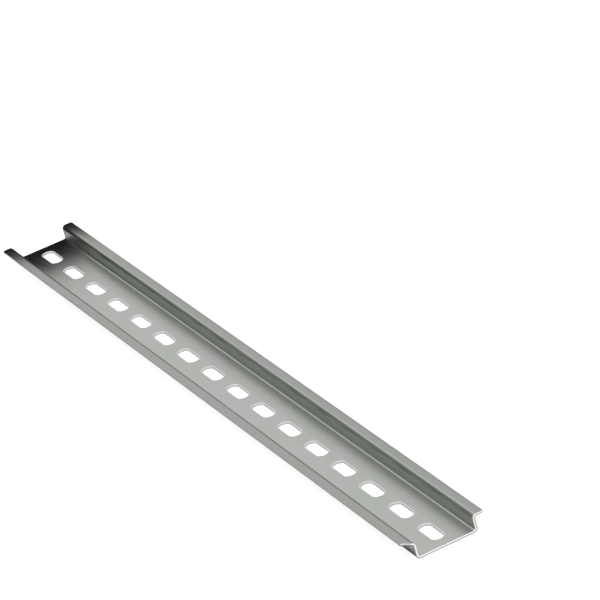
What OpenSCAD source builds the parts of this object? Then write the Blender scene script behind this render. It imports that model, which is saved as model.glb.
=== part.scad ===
// Top hat mounting rail, 35 mm wide and 7.5 mm high: a length of steel strip folded into a
// shallow channel with a lip along each side, and slotted down the middle of its web.
// X runs along the rail, Y across it and Z up. The origin is at the centre of the underside.

/* [Length] */
// Overall length of the rail
rail_length = 402; // [102:25:1002]

/* [Section] */
// Overall width, from lip edge to lip edge
rail_width = 35; // [34:0.1:36]
// Overall height, from the underside of the web to the top of the lips
rail_height = 7.5; // [6:0.5:15]
// Width over the outside of the two side walls
channel_width = 27; // [26:0.1:28]
// Thickness of the steel strip
sheet = 1; // [0.8:0.1:1.5]
// Radius on the inside of every fold
fold_r = 0.8; // [0.4:0.1:1]
// Rounding of the long free edges of the lips
lip_edge_r = 0.2; // [0.05:0.05:0.3]
// Rounding of the four lip corners, seen from above
lip_corner_r = 0.8; // [0.2:0.1:1.5]

/* [Slots] */
// Overall length of a slot
slot_length = 15; // [8:0.5:20]
// Width of a slot
slot_width = 5.2; // [4:0.1:7]
// Distance from the centre of one slot to the next
slot_pitch = 25; // [25:1:50]

/* [Hidden] */
$fn = 64;
fold_outer_r = fold_r + sheet;
wall_y = channel_width / 2;
lip_y = rail_width / 2;
// How far a cutter reaches past the face that it cuts
over = 1;
slot_count = floor(rail_length / slot_pitch);
first_slot_x = -(slot_count - 1) * slot_pitch / 2;

// A quarter turn of the strip about the local origin, in the quadrant +x +y.
module fold() {
    intersection() {
        difference() {
            circle(r = fold_outer_r);
            circle(r = fold_r);
        }
        square(fold_outer_r);
    }
}

// The lip's flat stretch, from the upper fold out to its rounded free edge.
module lip_section() {
    from_y = wall_y + fold_r;
    translate([from_y, rail_height - sheet])
        square([lip_y - lip_edge_r - from_y, sheet]);
    translate([lip_y - 2 * lip_edge_r, rail_height - sheet + lip_edge_r])
        square([2 * lip_edge_r, sheet - 2 * lip_edge_r]);
    for (z = [rail_height - sheet + lip_edge_r, rail_height - lip_edge_r])
        translate([lip_y - lip_edge_r, z])
            circle(r = lip_edge_r);
}

// One side of the section: the web's fold, the side wall, the lip's fold and the lip.
module side_section() {
    translate([wall_y - fold_outer_r, fold_outer_r])
        mirror([0, 1])
            fold();
    translate([wall_y - sheet, fold_outer_r])
        square([sheet, rail_height - 2 * fold_outer_r]);
    translate([wall_y + fold_r, rail_height - fold_outer_r])
        mirror([1, 0])
            fold();
    lip_section();
}

// The whole hat section, with the opening of the channel upwards.
module rail_section() {
    web_w = channel_width - 2 * fold_outer_r;
    translate([-web_w / 2, 0])
        square([web_w, sheet]);
    side_section();
    mirror([1, 0])
        side_section();
}

// A slot with fully round ends, cut from below the web to above it.
module slot_cutter() {
    straight = slot_length - slot_width;
    height = sheet + 2 * over;
    translate([-straight / 2, -slot_width / 2, -over])
        cube([straight, slot_width, height]);
    for (x = [-straight / 2, straight / 2])
        translate([x, 0, -over])
            cylinder(r = slot_width / 2, h = height);
}

// What is taken off the lip corner at +x +y to round it.
module corner_cutter() {
    translate([rail_length / 2 - lip_corner_r, lip_y - lip_corner_r, rail_height - sheet - over])
        difference() {
            cube([lip_corner_r + over, lip_corner_r + over, sheet + 2 * over]);
            translate([0, 0, -over])
                cylinder(r = lip_corner_r, h = sheet + 4 * over);
        }
}

module rail() {
    color("#a9aeab")
    difference() {
        rotate([90, 0, 90])
            linear_extrude(height = rail_length, center = true)
                rail_section();
        for (i = [0 : slot_count - 1])
            translate([first_slot_x + i * slot_pitch, 0, 0])
                slot_cutter();
        for (end = [0, 1], side = [0, 1])
            mirror([end, 0, 0])
                mirror([0, side, 0])
                    corner_cutter();
    }
}

rail();
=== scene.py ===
"""Slotted top hat mounting rail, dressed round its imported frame: folded zinc-plated strip on a pale floor."""

import logging
import math
from collections.abc import Callable
from dataclasses import dataclass
from enum import Enum

import bmesh
import bpy
from mathutils import Matrix, Vector


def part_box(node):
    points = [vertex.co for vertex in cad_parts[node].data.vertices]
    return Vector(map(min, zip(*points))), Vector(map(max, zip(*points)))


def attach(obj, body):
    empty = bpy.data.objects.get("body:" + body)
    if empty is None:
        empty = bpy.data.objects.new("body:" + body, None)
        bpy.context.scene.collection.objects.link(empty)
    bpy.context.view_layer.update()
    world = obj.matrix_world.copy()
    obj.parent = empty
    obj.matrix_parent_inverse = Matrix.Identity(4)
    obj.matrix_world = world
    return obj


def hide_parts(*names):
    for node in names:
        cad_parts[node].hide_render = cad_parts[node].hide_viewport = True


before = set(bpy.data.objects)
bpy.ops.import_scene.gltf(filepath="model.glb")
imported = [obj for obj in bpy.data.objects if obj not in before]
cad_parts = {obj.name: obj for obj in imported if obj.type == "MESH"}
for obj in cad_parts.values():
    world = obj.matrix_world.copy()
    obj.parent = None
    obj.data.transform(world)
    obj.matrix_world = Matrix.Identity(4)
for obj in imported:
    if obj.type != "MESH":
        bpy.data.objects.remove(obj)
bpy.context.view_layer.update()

LOG = logging.getLogger("rail")
MM = 0.001
RAIL_NODE = "rail"
RAIL_BODY = "root"
WHOLE = (0.0, 1.0)
NOISE_SPAN = (0.3, 0.7)


class Side(Enum):
    """The two long sides of the rail, by the sign of Y."""

    LEFT = -1
    RIGHT = 1


class Surface(Enum):
    """What a face of the strip is, by the number of its finish."""

    PLATED = 0
    BURNISHED = 1
    FRACTURED = 2
    PUNCHED = 3
    DRAWN_RIM = 4


class Ray(Enum):
    """Kinds of light ray that a thing on the set can be hidden from."""

    CAMERA = "visible_camera"
    DIFFUSE = "visible_diffuse"
    GLOSSY = "visible_glossy"
    TRANSMISSION = "visible_transmission"
    SCATTER = "visible_volume_scatter"
    SHADOW = "visible_shadow"


# ---------------------------------------------------------------- modelling


@dataclass
class Workpiece:
    """A mesh object being modelled as by hand: code makes the selections, and operators do the work."""

    obj: bpy.types.Object

    @classmethod
    def empty(cls, name: str) -> "Workpiece":
        """Makes a mesh object with nothing in it, at the origin.

        Args:
            name: The name of the object and of its mesh.

        Returns:
            The workpiece that holds the object.
        """
        bpy.ops.object.select_all(action="DESELECT")
        bpy.ops.mesh.primitive_plane_add(size=MM, location=(0, 0, 0))
        obj = bpy.context.active_object
        obj.name = name
        obj.data.name = name
        piece = cls(obj)
        piece.enter()
        bpy.ops.mesh.select_all(action="SELECT")
        bpy.ops.mesh.delete(type="VERT")
        return piece

    def activate(self) -> None:
        """Makes this the only selected object, and the active one."""
        bpy.ops.object.select_all(action="DESELECT")
        self.obj.select_set(True)
        bpy.context.view_layer.objects.active = self.obj

    def enter(self) -> None:
        """Goes into edit mode with nothing selected."""
        self.activate()
        bpy.ops.object.mode_set(mode="EDIT")
        bpy.ops.mesh.select_all(action="DESELECT")

    def leave(self) -> None:
        """Goes back to object mode."""
        bpy.ops.object.mode_set(mode="OBJECT")

    def select_edges(self, test: Callable[[bmesh.types.BMEdge], bool]) -> None:
        """Selects, in edit mode, the edges that pass a test, and nothing else.

        Args:
            test: Takes an edge and says whether it is wanted.
        """
        bpy.ops.mesh.select_mode(type="EDGE")
        bpy.ops.mesh.select_all(action="DESELECT")
        mesh = bmesh.from_edit_mesh(self.obj.data)
        mesh.normal_update()
        for edge in mesh.edges:
            if test(edge):
                edge.select_set(True)
        bmesh.update_edit_mesh(self.obj.data)

    def select_vertices(self, test: Callable[[Vector], bool]) -> int:
        """Selects, in edit mode, the vertices whose place passes a test, and nothing else.

        Args:
            test: Takes a place and says whether it is wanted.

        Returns:
            How many vertices are selected.
        """
        bpy.ops.mesh.select_mode(type="VERT")
        bpy.ops.mesh.select_all(action="DESELECT")
        mesh = bmesh.from_edit_mesh(self.obj.data)
        wanted = [vertex for vertex in mesh.verts if test(vertex.co)]
        for vertex in wanted:
            vertex.select_set(True)
        bmesh.update_edit_mesh(self.obj.data)
        return len(wanted)

    def modify(self, kind: str, **settings: object) -> None:
        """Adds a modifier, sets it and applies it.

        Args:
            kind: Blender's name for the kind of modifier.
            **settings: The modifier's own properties.
        """
        self.activate()
        modifier = self.obj.modifiers.new(kind.title(), kind)
        for name, value in settings.items():
            setattr(modifier, name, value)
        bpy.ops.object.modifier_apply(modifier=modifier.name)


@dataclass
class RailStrip:
    """The folded and punched strip of steel: one closed mesh with drawn slot rims and cut edges.

    The driving sizes come first, in metres. The steps and cuts say how finely rounds and faces are divided.
    The leans are parts of a unit normal, and tell which way a face looks.
    """

    length: float
    width: float
    height: float
    channel_width: float = 27 * MM
    sheet: float = 1 * MM
    fold_radius: float = 0.8 * MM
    slot_length: float = 15 * MM
    slot_width: float = 5.2 * MM
    pitch: float = 25 * MM
    rim_roll: float = 0.45 * MM
    rim_band: float = 0.7 * MM
    lip_corner: float = 0.8 * MM
    lip_edge: float = 0.2 * MM
    cut_edge: float = 0.05 * MM
    burnish: float = 0.6 * MM
    slot_burnish: float = 0.8 * MM
    torn_burnish: float = 0.4 * MM
    shear_cuts: int = 4
    tear_recess: float = 3.6 * MM
    tear_reach: float = 7 * MM
    tear_rough: float = 0.6 * MM
    tear_cuts: int = 9
    fold_steps: int = 8
    round_steps: int = 12
    rim_steps: int = 3
    edge_steps: int = 2
    side_cuts: int = 4
    end_lean: float = 0.35
    level_lean: float = 0.3
    sharp_angle: float = math.radians(60)
    smooth_angle: float = math.radians(35)
    normal_weight: int = 80
    tolerance: float = 0.005 * MM

    @property
    def inner_wall(self) -> float:
        """How far the walls' inner faces are from the middle."""
        return self.channel_width / 2 - self.sheet

    @property
    def web_edge(self) -> float:
        """Where the flat of the web ends and its fold begins."""
        return self.inner_wall - self.fold_radius

    @property
    def outer_fold(self) -> float:
        """The radius on the outside of a fold."""
        return self.fold_radius + self.sheet

    @property
    def lip_start(self) -> float:
        """Where the upper fold ends and the flat of the lip begins."""
        return self.inner_wall + self.outer_fold

    @property
    def slot_count(self) -> int:
        """How many slots there are."""
        return int((self.length + self.tolerance) / self.pitch)

    def build(self) -> bpy.types.Object:
        """Models the whole strip.

        Returns:
            The finished object, at the origin.
        """
        piece = Workpiece.empty("rail_strip")
        self.punch_cell(piece)
        for side in Side:
            self.fold_side(piece, side)
        self.face_upwards(piece)
        piece.leave()
        self.repeat(piece)
        self.run_out_ends(piece)
        self.round_lip_corners(piece)
        self.tear_lip_end(piece)
        self.thicken(piece)
        self.score_cut_faces(piece)
        self.roll_slot_rims(piece)
        self.ease_lip_edges(piece)
        self.ease_cut_edges(piece)
        self.finish_shading(piece)
        return piece.obj

    def obround(self, length: float, width: float) -> None:
        """Adds a closed loop of edges with two straight sides and two round ends.

        Args:
            length: The loop's length over its round ends.
            width: The distance between its straight sides.
        """
        bpy.ops.mesh.select_mode(type="VERT")
        bpy.ops.mesh.select_all(action="DESELECT")
        bpy.ops.mesh.primitive_plane_add(size=1, location=(0, 0, self.sheet))
        bpy.ops.transform.resize(value=(length, width, 1))
        bpy.ops.mesh.bevel(
            offset=width / 2, segments=self.round_steps, affect="VERTICES", clamp_overlap=False
        )
        bpy.ops.mesh.remove_doubles(threshold=self.tolerance)
        bpy.ops.mesh.delete(type="ONLY_FACE")

    def punch_cell(self, piece: Workpiece) -> None:
        """Makes one pitch of the web's top face, with its slot in the middle.

        Args:
            piece: The empty piece, in edit mode.
        """
        self.obround(self.slot_length, self.slot_width)
        self.obround(self.slot_length + 2 * self.rim_band, self.slot_width + 2 * self.rim_band)
        piece.select_edges(lambda edge: True)
        bpy.ops.mesh.bridge_edge_loops()
        bpy.ops.mesh.select_all(action="DESELECT")
        bpy.ops.mesh.primitive_plane_add(size=1, location=(0, 0, self.sheet))
        bpy.ops.transform.resize(value=(self.pitch, 2 * self.web_edge, 1))
        bpy.ops.mesh.delete(type="ONLY_FACE")
        piece.select_edges(lambda edge: edge.is_wire)
        bpy.ops.mesh.subdivide(number_cuts=self.side_cuts)
        clear = (self.slot_width + self.rim_band) / 2
        piece.select_edges(lambda edge: edge.is_wire or edge.is_boundary and self.off_slot(edge) > clear)
        bpy.ops.mesh.fill(use_beauty=True)

    def off_slot(self, edge: bmesh.types.BMEdge) -> float:
        """How far an edge's middle is from the straight line between the slot's two round centres.

        Args:
            edge: An edge of the cell that is centred on the origin.

        Returns:
            The distance in metres.
        """
        middle = (edge.verts[0].co + edge.verts[1].co) / 2
        along = max(abs(middle.x) - (self.slot_length - self.slot_width) / 2, 0)
        return math.hypot(along, middle.y)

    def fold_side(self, piece: Workpiece, side: Side) -> None:
        """Folds a wall and its lip up from one long side of the cell.

        Args:
            piece: The cell, in edit mode.
            side: The side to fold.
        """
        sign = side.value
        edge_y = sign * self.web_edge
        piece.select_edges(lambda edge: all(abs(v.co.y - edge_y) < self.tolerance for v in edge.verts))
        turn = sign * math.pi / 2
        lower = (0, edge_y, self.sheet + self.fold_radius)
        bpy.ops.mesh.spin(steps=self.fold_steps, angle=-turn, center=lower, axis=(1, 0, 0))
        rise = self.height - self.outer_fold - self.fold_radius - self.sheet
        bpy.ops.mesh.extrude_region_move(TRANSFORM_OT_translate={"value": (0, 0, rise)})
        upper = (0, sign * self.lip_start, self.height - self.outer_fold)
        bpy.ops.mesh.spin(steps=self.fold_steps, angle=turn, center=upper, axis=(1, 0, 0))
        reach = sign * (self.width / 2 - self.lip_start)
        bpy.ops.mesh.extrude_region_move(TRANSFORM_OT_translate={"value": (0, reach, 0)})

    def face_upwards(self, piece: Workpiece) -> None:
        """Turns every face so that the web looks up and the walls look into the channel.

        Args:
            piece: The cell, in edit mode.
        """
        bpy.ops.mesh.select_all(action="SELECT")
        bpy.ops.mesh.remove_doubles(threshold=self.tolerance)
        bpy.ops.mesh.normals_make_consistent(inside=False)
        mesh = bmesh.from_edit_mesh(piece.obj.data)
        if sum(face.normal.z * face.calc_area() for face in mesh.faces) < 0:
            bpy.ops.mesh.flip_normals()

    def repeat(self, piece: Workpiece) -> None:
        """Copies the cell along the rail, joins the copies and centres them.

        Args:
            piece: The finished cell.
        """
        piece.modify(
            "ARRAY",
            count=self.slot_count,
            use_relative_offset=False,
            use_constant_offset=True,
            constant_offset_displace=(self.pitch, 0, 0),
            use_merge_vertices=True,
            merge_threshold=self.tolerance,
        )
        piece.obj.location.x = -(self.slot_count - 1) * self.pitch / 2
        piece.activate()
        bpy.ops.object.transform_apply(location=True, rotation=False, scale=False)

    def run_out_ends(self, piece: Workpiece) -> None:
        """Draws the plain strip on from the last cells to the sheared ends.

        Args:
            piece: The whole surface.
        """
        cells = self.slot_count * self.pitch / 2
        piece.enter()
        for way in (-1, 1):
            rim = way * cells
            piece.select_edges(lambda edge: all(abs(v.co.x - rim) < self.tolerance for v in edge.verts))
            run = way * (self.length / 2 - cells)
            bpy.ops.mesh.extrude_region_move(TRANSFORM_OT_translate={"value": (run, 0, 0)})
        piece.leave()

    def is_torn(self, place: Vector) -> bool:
        """Whether a place is on the part of the left lip that the tear has drawn back.

        Args:
            place: A place on the strip.

        Returns:
            True on the near end of the left lip.
        """
        return place.x > self.length / 2 - self.tear_reach and place.y < -self.lip_start

    def round_lip_corners(self, piece: Workpiece) -> None:
        """Rounds the free corners of the lips, except the torn one.

        Args:
            piece: The whole surface.
        """

        def is_sound_corner(co: Vector) -> bool:
            """Whether a place is a free corner that isn't torn.

            Args:
                co: A place on the strip.

            Returns:
                True on three of the four corners.
            """
            away = math.hypot(abs(co.x) - self.length / 2, abs(co.y) - self.width / 2)
            return away < self.tolerance and not self.is_torn(co)

        piece.enter()
        found = piece.select_vertices(is_sound_corner)
        bpy.ops.mesh.bevel(offset=self.lip_corner, segments=self.fold_steps, affect="VERTICES")
        piece.leave()
        LOG.debug("%d lip corners rounded", found)

    def tear_lip_end(self, piece: Workpiece) -> None:
        """Draws the near end of the left lip back, most at its free edge, and roughens it.

        Args:
            piece: The whole surface.
        """
        last = self.slot_count * self.pitch / 2 - self.tolerance
        start = self.length / 2 - self.tear_reach
        piece.enter()
        piece.select_edges(
            lambda edge: all(v.co.x > last and v.co.y < self.tolerance - self.lip_start for v in edge.verts)
            and abs(edge.verts[0].co.x - edge.verts[1].co.x) < self.tolerance
        )
        bpy.ops.mesh.subdivide(number_cuts=self.tear_cuts)
        piece.leave()
        lip = [v.co.y for v in piece.obj.data.vertices if v.co.x > start and v.co.y < -self.lip_start]
        for row in sorted({round(y / self.tolerance) for y in lip}):
            y = row * self.tolerance
            across = (-y - self.lip_start) / (self.width / 2 - self.lip_start)
            piece.enter()
            piece.select_vertices(lambda co: co.x > start and abs(co.y - y) < self.tolerance)
            recess = across * self.tear_recess
            shrink = 1 - recess / self.tear_reach
            bpy.ops.transform.resize(value=(shrink, 1, 1), center_override=(start, y, self.height))
            end = self.length / 2 - recess - self.tolerance
            piece.select_vertices(lambda co: co.x > end and abs(co.y - y) < self.tolerance)
            bpy.ops.transform.translate(value=(-self.tear_rough * self.tear_shape(across), 0, 0))
            piece.leave()

    def tear_shape(self, across: float) -> float:
        """How deep the roughness is at one place across the lip: two waves that fade out at both ends.

        Args:
            across: The place, from 0 at the fold to 1 at the free edge.

        Returns:
            The depth, from 0 to 1.
        """
        ragged = 0.5 + 0.3 * math.sin(across * 14) + 0.2 * math.sin(across * 35 + 1)
        return ragged * math.sin(math.pi * min(across * 1.2, 1))

    def thicken(self, piece: Workpiece) -> None:
        """Gives the surface the strip's thickness, downwards and outwards.

        Args:
            piece: The whole surface.
        """
        piece.modify("SOLIDIFY", thickness=self.sheet, offset=-1, use_even_offset=True)

    def score_cut_faces(self, piece: Workpiece) -> None:
        """Divides the cut faces through the thickness, where the tool stops cutting and the metal breaks.

        Args:
            piece: The closed strip.
        """
        piece.enter()
        piece.select_edges(lambda edge: all(self.is_cut(face) for face in edge.link_faces))
        bpy.ops.mesh.subdivide(number_cuts=self.shear_cuts)
        piece.leave()

    def is_cut(self, face: bmesh.types.BMFace) -> bool:
        """Whether a face is on a sheared end or in a slot.

        Args:
            face: A face of the closed strip, before its edges are eased.

        Returns:
            True if a tool cut it.
        """
        in_slot = abs(face.normal.z) < self.level_lean and abs(face.calc_center_median().y) < self.web_edge
        return in_slot or self.is_sheared(face.normal)

    def is_sheared(self, normal: Vector) -> bool:
        """Whether a face that looks one way belongs to a sheared end, or to a slot's round end.

        Args:
            normal: The way that the face looks.

        Returns:
            True if it looks along the rail.
        """
        return abs(normal.x) > self.end_lean

    def is_sheared_edge(self, edge: bmesh.types.BMEdge) -> bool:
        """Whether an edge borders a sheared end.

        Args:
            edge: Any edge of the strip.

        Returns:
            True if one of its faces is sheared.
        """
        return any(self.is_sheared(face.normal) for face in edge.link_faces)

    def depth(self, place: Vector) -> float:
        """How deep a place lies below the strip's upper or inner face.

        Args:
            place: A place in the thickness of the strip.

        Returns:
            The depth, from 0 to the strip's thickness.
        """
        y, z = abs(place.y), place.z
        if y < self.web_edge:
            return self.sheet - z
        if z < self.sheet + self.fold_radius:
            return math.hypot(y - self.web_edge, z - self.sheet - self.fold_radius) - self.fold_radius
        if z < self.height - self.outer_fold:
            return y - self.inner_wall
        if y < self.lip_start:
            return self.outer_fold - math.hypot(y - self.lip_start, z - self.height + self.outer_fold)
        return self.height - z

    def surface_of(self, place: Vector, normal: Vector) -> Surface:
        """What part of the strip's surface a face is.

        Args:
            place: The face's middle.
            normal: The way it looks.

        Returns:
            The kind of surface.
        """
        ends = self.length / 2 - self.tear_recess - self.lip_corner
        if abs(place.x) > ends and self.is_sheared(normal):
            cut = self.torn_burnish if self.is_torn(place) else self.burnish
            return Surface.FRACTURED if self.depth(place) > cut else Surface.BURNISHED
        if abs(place.y) > self.web_edge or not self.tolerance < place.z < self.sheet - self.tolerance:
            return Surface.PLATED
        if abs(place.x) > ends:
            return Surface.PLATED
        if abs(normal.z) > self.level_lean:
            return Surface.DRAWN_RIM
        return Surface.FRACTURED if self.depth(place) > self.slot_burnish else Surface.PUNCHED

    def roll_slot_rims(self, piece: Workpiece) -> None:
        """Rounds the upper rims of the slots, where the punch draws the metal down.

        Args:
            piece: The closed strip.
        """
        piece.enter()
        piece.select_edges(self.is_upper_rim)
        bpy.ops.mesh.bevel(offset=self.rim_roll, segments=self.rim_steps, profile=0.5, affect="EDGES")
        piece.leave()

    def is_upper_rim(self, edge: bmesh.types.BMEdge) -> bool:
        """Whether an edge is on the upper rim of a slot.

        Args:
            edge: Any edge of the strip.

        Returns:
            True on the rim.
        """
        if not self.is_sharp(edge):
            return False
        level = all(abs(v.co.z - self.sheet) < self.tolerance for v in edge.verts)
        inside = all(abs(v.co.y) < self.slot_width / 2 + self.tolerance for v in edge.verts)
        at_end = all(abs(abs(v.co.x) - self.length / 2) < self.tolerance for v in edge.verts)
        return level and inside and not at_end

    def is_sharp(self, edge: bmesh.types.BMEdge) -> bool:
        """Whether the faces on an edge meet at more than the sharp angle.

        Args:
            edge: Any edge of the strip.

        Returns:
            True if it is sharp.
        """
        return edge.is_manifold and edge.calc_face_angle(0) > self.sharp_angle

    def ease_lip_edges(self, piece: Workpiece) -> None:
        """Rounds the long free edges of the lips, with their corners.

        Args:
            piece: The closed strip.
        """
        start = self.width / 2 - self.lip_corner - self.tolerance
        piece.enter()
        piece.select_edges(
            lambda edge: self.is_sharp(edge)
            and all(abs(v.co.y) > start for v in edge.verts)
            and abs(edge.verts[0].co.z - edge.verts[1].co.z) < self.tolerance
            and not (self.is_torn(edge.verts[0].co) and self.is_sheared_edge(edge))
        )
        bpy.ops.mesh.bevel(offset=self.lip_edge, segments=self.rim_steps, profile=0.5, affect="EDGES")
        piece.leave()

    def ease_cut_edges(self, piece: Workpiece) -> None:
        """Takes the sharpness off every other cut edge.

        Args:
            piece: The closed strip.
        """
        piece.modify(
            "BEVEL",
            width=self.cut_edge,
            segments=self.edge_steps,
            limit_method="ANGLE",
            angle_limit=self.sharp_angle,
            loop_slide=False,
        )

    def finish_shading(self, piece: Workpiece) -> None:
        """Shades the rounds smooth and leaves the flats flat.

        Args:
            piece: The closed strip.
        """
        piece.activate()
        bpy.ops.object.shade_smooth_by_angle(angle=self.smooth_angle)
        piece.modify("WEIGHTED_NORMAL", mode="FACE_AREA", weight=self.normal_weight, keep_sharp=True)


# ---------------------------------------------------------------- finishes


class Graph:
    """A short way to lay out a material's nodes."""

    def __init__(self, name: str) -> None:
        """Makes a material with only its surface shader.

        Args:
            name: The material's name.
        """
        self.material = bpy.data.materials.new(name)
        self.material.use_nodes = True
        self.tree = self.material.node_tree
        self.tree.nodes.clear()
        self.shader = self.tree.nodes.new("ShaderNodeBsdfPrincipled")
        output = self.tree.nodes.new("ShaderNodeOutputMaterial")
        self.tree.links.new(self.shader.outputs["BSDF"], output.inputs["Surface"])
        self.place = self.tree.nodes.new("ShaderNodeTexCoord").outputs["Object"]

    def add(self, kind: str, **properties: object) -> bpy.types.Node:
        """Adds a node.

        Args:
            kind: The node's type, without its ShaderNode prefix.
            **properties: Its own settings.

        Returns:
            The node.
        """
        node = self.tree.nodes.new("ShaderNode" + kind)
        for name, value in properties.items():
            setattr(node, name, value)
        return node

    def put(self, socket: bpy.types.NodeSocket, value: object) -> None:
        """Links an output to a socket, or sets the socket's own value.

        Args:
            socket: The input.
            value: An output socket, a number, a colour or a vector.
        """
        if isinstance(value, bpy.types.NodeSocket):
            self.tree.links.new(value, socket)
        else:
            socket.default_value = value

    def scaled(self, scale: tuple[float, float, float]) -> bpy.types.NodeSocket:
        """The object's coordinates, scaled.

        Args:
            scale: How many pattern units there are in a metre along X, Y and Z.

        Returns:
            The scaled vector.
        """
        node = self.add("Mapping")
        self.put(node.inputs["Vector"], self.place)
        self.put(node.inputs["Scale"], scale)
        return node.outputs["Vector"]

    def noise(self, scale: tuple[float, float, float], detail: float) -> bpy.types.NodeSocket:
        """Smooth noise from 0 to 1.

        Args:
            scale: Its scale along X, Y and Z, in cells to the metre.
            detail: How many finer layers it has.

        Returns:
            The noise value.
        """
        node = self.add("TexNoise")
        self.put(node.inputs["Vector"], self.scaled(scale))
        self.put(node.inputs["Scale"], 1.0)
        self.put(node.inputs["Detail"], detail)
        return node.outputs["Fac"]

    def spread(
        self, value: bpy.types.NodeSocket, source: tuple[float, float], target: tuple[float, float]
    ) -> bpy.types.NodeSocket:
        """Maps a value from one range to another, and clamps it.

        Args:
            value: The value.
            source: The range it comes from.
            target: The range it goes to.

        Returns:
            The mapped value.
        """
        node = self.add("MapRange")
        self.put(node.inputs["Value"], value)
        self.put(node.inputs["From Min"], source[0])
        self.put(node.inputs["From Max"], source[1])
        self.put(node.inputs["To Min"], target[0])
        self.put(node.inputs["To Max"], target[1])
        return node.outputs["Result"]

    def tones(
        self, place: bpy.types.NodeSocket, stops: tuple[tuple[float, float], ...]
    ) -> bpy.types.NodeSocket:
        """Tones that change along one axis, with even steps between the stops.

        Args:
            place: The coordinate.
            stops: The place, in millimetres, and the tone of each stop.

        Returns:
            The tone as a grey.
        """
        first, last = stops[0][0], stops[-1][0]
        node = self.add("ValToRGB")
        self.put(node.inputs[0], self.spread(place, (first * MM, last * MM), WHOLE))
        ramp = node.color_ramp.elements
        for _ in stops[2:]:
            ramp.new(0.5)
        for element, (where, tone) in zip(ramp, stops):
            element.position = (where - first) / (last - first)
            element.color = (tone, tone, tone, 1)
        return node.outputs["Color"]

    def blend(self, share: object, a: object, b: object, how: str = "MIX") -> bpy.types.NodeSocket:
        """Mixes two colours.

        Args:
            share: How much of the second there is.
            a: The first colour.
            b: The second colour.
            how: Blender's name for the way of mixing.

        Returns:
            The mixed colour.
        """
        node = self.add("Mix", data_type="RGBA", blend_type=how)
        self.put(node.inputs[0], share)
        self.put(node.inputs[6], a)
        self.put(node.inputs[7], b)
        return node.outputs[2]

    def bump(
        self, height: bpy.types.NodeSocket, distance: float, strength: float, below: object = None
    ) -> bpy.types.NodeSocket:
        """Turns a height into a normal.

        Args:
            height: The height pattern.
            distance: What a height of one stands for, in metres.
            strength: How much of it shows.
            below: The normal that it is laid over, if any.

        Returns:
            The normal.
        """
        node = self.add("Bump")
        self.put(node.inputs["Height"], height)
        self.put(node.inputs["Distance"], distance)
        self.put(node.inputs["Strength"], strength)
        if below is not None:
            self.put(node.inputs["Normal"], below)
        return node.outputs["Normal"]


@dataclass(frozen=True)
class ZincPlatingAndPaintedLight:
    """Bright zinc plating on rolled strip: grey with green and violet patches and a faint grain along it.

    The tones by height and across the section, both in millimetres, lighten or darken the plating's colour
    and so paint light and shade into it: painted highlights on the folds, painted shade under the lips and
    along the left upper fold, and a painted reflection of the right wall that darkens the web beside it.
    The lip tops and the right lip's outer edge are toned darker. They are lightest in the lower folds, and
    darkest under the lips and along the left upper fold.
    """

    green: tuple[float, float, float, float] = (0.60, 0.63, 0.58, 1)
    violet: tuple[float, float, float, float] = (0.64, 0.632, 0.625, 1)
    roughness: tuple[float, float] = (0.27, 0.35)
    anisotropy: float = 0.68
    # Painted light by height, in mm: painted highlights on the lower folds and the top of the upper folds,
    # lighter walls, painted shade on the upper folds just under the lips, and darker lip tops.
    painted_light_by_height: tuple[tuple[float, float], ...] = (
        (1.002, 1.0),
        (1.012, 1.55),
        (1.10, 1.55),
        (1.25, 1.03),
        (2.0, 1.05),
        (3.2, 1.14),
        (4.6, 1.18),
        (5.5, 1.12),
        (5.9, 0.76),
        (6.6, 0.64),
        (6.85, 0.95),
        (7.05, 1.2),
        (7.3, 1.2),
        (7.42, 1.0),
        (7.48, 0.765),
    )
    # Painted light across the section, in mm: painted shade along the left fold, a painted reflection of the
    # right wall that darkens the web beside it, a painted highlight on the right lower fold, and a darker outer
    # edge on the right lip.
    across: tuple[tuple[float, float], ...] = (
        (-14.2, 1.0),
        (-13.8, 0.57),
        (-12.8, 0.57),
        (-12.4, 1.0),
        (3.0, 1.0),
        (6.5, 0.93),
        (9.0, 0.81),
        (10.6, 0.86),
        (11.2, 0.9),
        (11.5, 1.12),
        (11.9, 1.1),
        (12.2, 1.03),
        (12.4, 1.0),
        (15.9, 1.0),
        (17.3, 0.87),
    )
    patch: tuple[float, float, float] = (34, 70, 70)
    patch_span: tuple[float, float] = (0.36, 0.64)
    grain: tuple[float, float, float] = (60, 5200, 5200)
    grain_depth: float = 0.002 * MM
    wave: tuple[float, float, float] = (9, 60, 60)
    wave_depth: float = 0.012 * MM

    def material(self) -> bpy.types.Material:
        """Lays out the material.

        Returns:
            The material.
        """
        g = Graph("zinc_plate_and_painted_light")
        patches = g.spread(g.noise(self.patch, detail=1.5), self.patch_span, WHOLE)
        grain = g.noise(self.grain, detail=2)
        colour = g.blend(patches, self.green, self.violet)
        place = g.add("SeparateXYZ")
        g.put(place.inputs[0], g.place)
        # These two multiplies paint light and shade into the plating's colour, by height and across the
        # section.
        colour = g.blend(1.0, colour, g.tones(place.outputs["Z"], self.painted_light_by_height), "MULTIPLY")
        colour = g.blend(1.0, colour, g.tones(place.outputs["Y"], self.across), "MULTIPLY")
        g.put(g.shader.inputs["Base Color"], colour)
        g.put(g.shader.inputs["Metallic"], 1.0)
        g.put(g.shader.inputs["Roughness"], g.spread(grain, NOISE_SPAN, self.roughness))
        g.put(g.shader.inputs["Anisotropic"], self.anisotropy)
        tangent = g.add("Tangent", direction_type="RADIAL", axis="X")
        g.put(g.shader.inputs["Tangent"], tangent.outputs[0])
        wavy = g.bump(g.noise(self.wave, detail=1), distance=self.wave_depth, strength=1.0)
        fine = g.bump(grain, distance=self.grain_depth, strength=0.6, below=wavy)
        g.put(g.shader.inputs["Normal"], fine)
        return g.material


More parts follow.
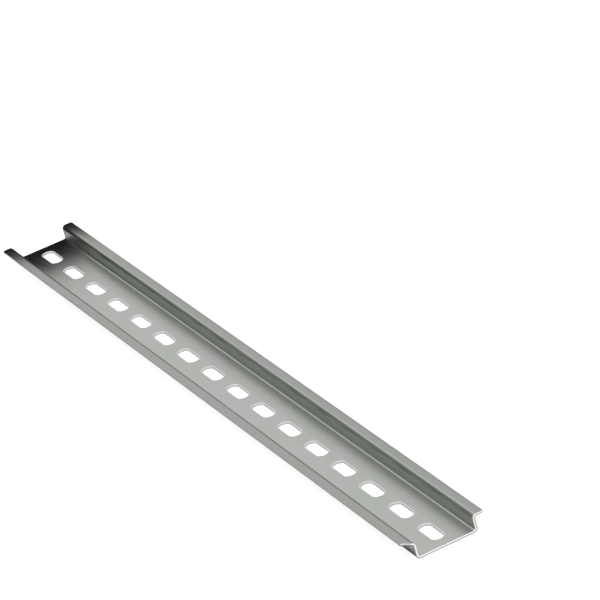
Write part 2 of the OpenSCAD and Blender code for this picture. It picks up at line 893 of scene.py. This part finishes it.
@dataclass(frozen=True)
class CutFinish:
    """Metal on sheared or punched edges, with fine marks down the cut, and less metallic where it is matt."""

    name: str
    grey: float
    metallic: float = 1.0
    roughness: tuple[float, float] = (0.3, 0.5)
    marks: tuple[float, float, float] = (1500, 1500, 120)
    mark_depth: float = 0.02 * MM

    def material(self) -> bpy.types.Material:
        """Lays out the material.

        Returns:
            The material.
        """
        g = Graph(self.name)
        marks = g.noise(self.marks, detail=2)
        g.put(g.shader.inputs["Base Color"], (self.grey, self.grey, self.grey, 1))
        g.put(g.shader.inputs["Metallic"], self.metallic)
        g.put(g.shader.inputs["Roughness"], g.spread(marks, NOISE_SPAN, self.roughness))
        g.put(g.shader.inputs["Normal"], g.bump(marks, distance=self.mark_depth, strength=0.5))
        return g.material


@dataclass(frozen=True)
class FloorFinish:
    """A plain pale floor, even and matt."""

    colour: tuple[float, float, float, float] = (0.5, 0.5, 0.5, 1)
    roughness: float = 0.9

    def material(self) -> bpy.types.Material:
        """Lays out the material.

        Returns:
            The material.
        """
        g = Graph("pale_floor")
        g.put(g.shader.inputs["Base Color"], self.colour)
        g.put(g.shader.inputs["Roughness"], self.roughness)
        g.put(g.shader.inputs["Specular IOR Level"], 0.0)
        return g.material


@dataclass(frozen=True)
class FlagClothAndPaintedShade:
    """Flat matt grey to black: cloth on a standing flag, and on the sheets laid on the floor a painted
    darkening of the floor that the metal mirrors.
    """

    grey: float

    def material(self) -> bpy.types.Material:
        """Lays out the material.

        Returns:
            The material.
        """
        g = Graph("flag_cloth_and_painted_shade")
        g.put(g.shader.inputs["Base Color"], (self.grey, self.grey, self.grey, 1))
        g.put(g.shader.inputs["Roughness"], 1.0)
        g.put(g.shader.inputs["Specular IOR Level"], 0.0)
        return g.material


@dataclass
class DressedRail:
    """The rail strip with its finishes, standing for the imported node."""

    strip: RailStrip
    zinc: ZincPlatingAndPaintedLight = ZincPlatingAndPaintedLight()
    burnished: CutFinish = CutFinish("burnished_cut", 0.76)
    fractured: CutFinish = CutFinish("fractured_cut", 0.22)
    punched: CutFinish = CutFinish("punched_wall", 0.56)
    # The rolled slot rims are a darker, less metallic grey than the plating, which draws a dark line round each
    # slot.
    drawn_rim: CutFinish = CutFinish("drawn_rim", 0.42, metallic=0.35)

    def build(self) -> bpy.types.Object:
        """Models the strip, dresses it and puts it in the frame.

        Returns:
            The finished piece.
        """
        obj = self.strip.build()
        obj.data.materials.clear()
        for finish in (self.zinc, self.burnished, self.fractured, self.punched, self.drawn_rim):
            obj.data.materials.append(finish.material())
        for face in obj.data.polygons:
            face.material_index = self.strip.surface_of(face.center, face.normal).value
        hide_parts(RAIL_NODE)
        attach(obj, RAIL_BODY)
        return obj


# ---------------------------------------------------------------- set


@dataclass(frozen=True)
class Stance:
    """Where the camera stands and how it is turned, in degrees, metres and millimetres of lens."""

    azimuth: float = 70.173
    elevation: float = 24.537
    roll: float = -15.5
    distance: float = 1.82993
    shift_right: float = 0.030936
    shift_up: float = 0.035103
    lens: float = 263.814
    sensor: float = 36.0

    def axes(self) -> tuple[Vector, Vector, Vector]:
        """The camera's own axes in the frame.

        Returns:
            The directions to its right, up and backwards.
        """
        a = math.radians(self.azimuth)
        e = math.radians(self.elevation)
        back = Vector((math.sin(a) * math.cos(e), -math.cos(a) * math.cos(e), math.sin(e)))
        right = Vector((math.cos(a), math.sin(a), 0))
        up = back.cross(right)
        turn = Matrix.Rotation(math.radians(self.roll), 3, back)
        return turn @ right, turn @ up, back


@dataclass(frozen=True)
class Dome:
    """The soft light all round: how bright it is, how it leans, and the dim side that it has."""

    level: float = 0.76
    lean: tuple[float, float, float] = (0.0, -0.35, 0.15)
    dim_azimuth: float = 210.0
    dim_elevation: float = 18.0
    dim_core: float = 4.0
    dim_reach: float = 37.0
    dim_colour: tuple[float, float, float] = (0.060, 0.094, 0.064)

    def paint(self, tree: bpy.types.NodeTree) -> None:
        """Lays out the world's nodes.

        Args:
            tree: The world's node tree.
        """
        nodes = tree.nodes
        links = tree.links
        place = nodes.new("ShaderNodeTexCoord").outputs["Generated"]
        a = math.radians(self.dim_azimuth)
        e = math.radians(self.dim_elevation)
        aim = (math.cos(a) * math.cos(e), math.sin(a) * math.cos(e), math.sin(e))
        tilt, towards = (nodes.new("ShaderNodeVectorMath") for _ in range(2))
        for node, axis in ((tilt, self.lean), (towards, aim)):
            node.operation = "DOT_PRODUCT"
            links.new(place, node.inputs[0])
            node.inputs[1].default_value = axis
        bright = nodes.new("ShaderNodeMath")
        bright.operation = "MULTIPLY_ADD"
        links.new(tilt.outputs["Value"], bright.inputs[0])
        bright.inputs[1].default_value = self.level
        bright.inputs[2].default_value = self.level
        angle = nodes.new("ShaderNodeMath")
        angle.operation = "ARCCOSINE"
        links.new(towards.outputs["Value"], angle.inputs[0])
        clear = nodes.new("ShaderNodeMapRange")
        clear.interpolation_type = "SMOOTHSTEP"
        links.new(angle.outputs[0], clear.inputs["Value"])
        clear.inputs["From Min"].default_value = math.radians(self.dim_core)
        clear.inputs["From Max"].default_value = math.radians(self.dim_reach)
        mix = nodes.new("ShaderNodeMix")
        mix.data_type = "RGBA"
        links.new(clear.outputs["Result"], mix.inputs[0])
        mix.inputs[6].default_value = (*self.dim_colour, 1)
        links.new(bright.outputs[0], mix.inputs[7])
        links.new(mix.outputs[2], nodes["Background"].inputs["Color"])


@dataclass(frozen=True)
class Overhead:
    """A big soft box over the table that lights the floor and is kept out of the metal's reflections."""

    size: float = 2.4
    height: float = 1.6
    power: float = 80.0

    def hang(self) -> None:
        """Makes the light."""
        data = bpy.data.lights.new("overhead", "AREA")
        data.shape = "SQUARE"
        data.size = self.size
        data.energy = self.power
        data.use_shadow = False
        lamp = bpy.data.objects.new("overhead", data)
        lamp.location = (0, 0, self.height)
        lamp.visible_glossy = False
        bpy.context.scene.collection.objects.link(lamp)


@dataclass(frozen=True)
class Flag:
    """A dark board that only mirror-like light meets, which keeps a bright patch off the metal. Laid flat on
    the floor, it darkens the floor that the metal mirrors: painted shade beside and under the left side, and a
    painted dark reflection past the far end.
    """

    name: str
    centre: tuple[float, float, float]
    size: tuple[float, float, float]
    grey: float

    def hang(self) -> None:
        """Makes the board."""
        bpy.ops.object.select_all(action="DESELECT")
        bpy.ops.mesh.primitive_cube_add(size=1, location=self.centre)
        board = bpy.context.active_object
        board.name = self.name
        bpy.ops.transform.resize(value=self.size)
        board.data.materials.append(FlagClothAndPaintedShade(self.grey).material())
        for ray in Ray:
            setattr(board, ray.value, ray is Ray.GLOSSY)


class Studio:
    """The floor, the lights and the camera."""

    floor_height: float = -0.05 * MM
    floor_radius: float = 3.0
    floor_sides: int = 96

    def __init__(self, stance: Stance, dome: Dome, flags: tuple[Flag, ...]) -> None:
        """Keeps what the set is made of.

        Args:
            stance: Where the camera stands.
            dome: The soft light all round.
            flags: The dark boards.
        """
        self.stance = stance
        self.dome = dome
        self.flags = flags

    def build(self) -> None:
        """Makes everything on the set."""
        self.lay_floor()
        self.hang_lights()
        for flag in self.flags:
            flag.hang()
        self.stand_camera()
        view = bpy.context.scene.view_settings
        view.view_transform = "Standard"

    def lay_floor(self) -> None:
        """Lays a wide plain floor, a hair below the rail so that the two faces don't coincide."""
        bpy.ops.object.select_all(action="DESELECT")
        bpy.ops.mesh.primitive_circle_add(
            vertices=self.floor_sides,
            radius=self.floor_radius,
            fill_type="NGON",
            location=(0, 0, self.floor_height),
        )
        floor = bpy.context.active_object
        floor.name = "floor"
        floor.data.materials.append(FloorFinish().material())

    def hang_lights(self) -> None:
        """Lights the rail with a soft dome, dim past the far end on the left, and a soft box overhead."""
        world = bpy.data.worlds.new("dome")
        bpy.context.scene.world = world
        world.use_nodes = True
        self.dome.paint(world.node_tree)
        Overhead().hang()

    def stand_camera(self) -> None:
        """Stands the camera at its stance."""
        right, up, back = self.stance.axes()
        data = bpy.data.cameras.new("camera")
        data.lens = self.stance.lens
        data.sensor_width = self.stance.sensor
        data.clip_start = 0.1
        data.clip_end = 50
        camera = bpy.data.objects.new("camera", data)
        bpy.context.scene.collection.objects.link(camera)
        place = right * self.stance.shift_right + up * self.stance.shift_up + back * self.stance.distance
        camera.matrix_world = Matrix.Translation(place) @ Matrix((right, up, back)).transposed().to_4x4()
        bpy.context.scene.camera = camera


def main() -> None:
    """Builds the rail and its set, and logs the rail's face count."""
    logging.basicConfig(level=logging.INFO, format="%(name)s: %(message)s")
    low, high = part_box(RAIL_NODE)
    rail = DressedRail(RailStrip(*(high - low))).build()
    LOG.info("%s: %d faces", rail.name, len(rail.data.polygons))
    flags = (
        Flag("end_flag", (-0.216, 0.012, 0.0113), (0.002, 0.16, 0.0214), grey=0.004),
        # Painted dark reflection: a grey sheet on the floor past the far end, seen only in the metal's
        # reflections.
        Flag("painted_dark_floor_past_end", (-0.300, 0.0, 0.0004), (0.196, 0.2, 0.0004), grey=0.155),
        Flag("right_flag", (-0.08, 0.045, 0.010), (0.56, 0.002, 0.020), grey=0.05),
        # Painted shade: a grey sheet on the floor beside the left side, seen only in the metal's reflections.
        Flag("painted_shade_beside_rail", (-0.027, -0.040, 0.0004), (0.446, 0.044, 0.0004), grey=0.21),
        # Painted shadow: a near-black sheet on the floor under the left lip, seen only in the left wall's
        # reflection.
        Flag("painted_shadow_under_lip", (0.01, -0.0148, 0.0004), (0.38, 0.002, 0.0004), grey=0.02),
    )
    Studio(Stance(), Dome(), flags).build()


if __name__ == "__main__":
    main()
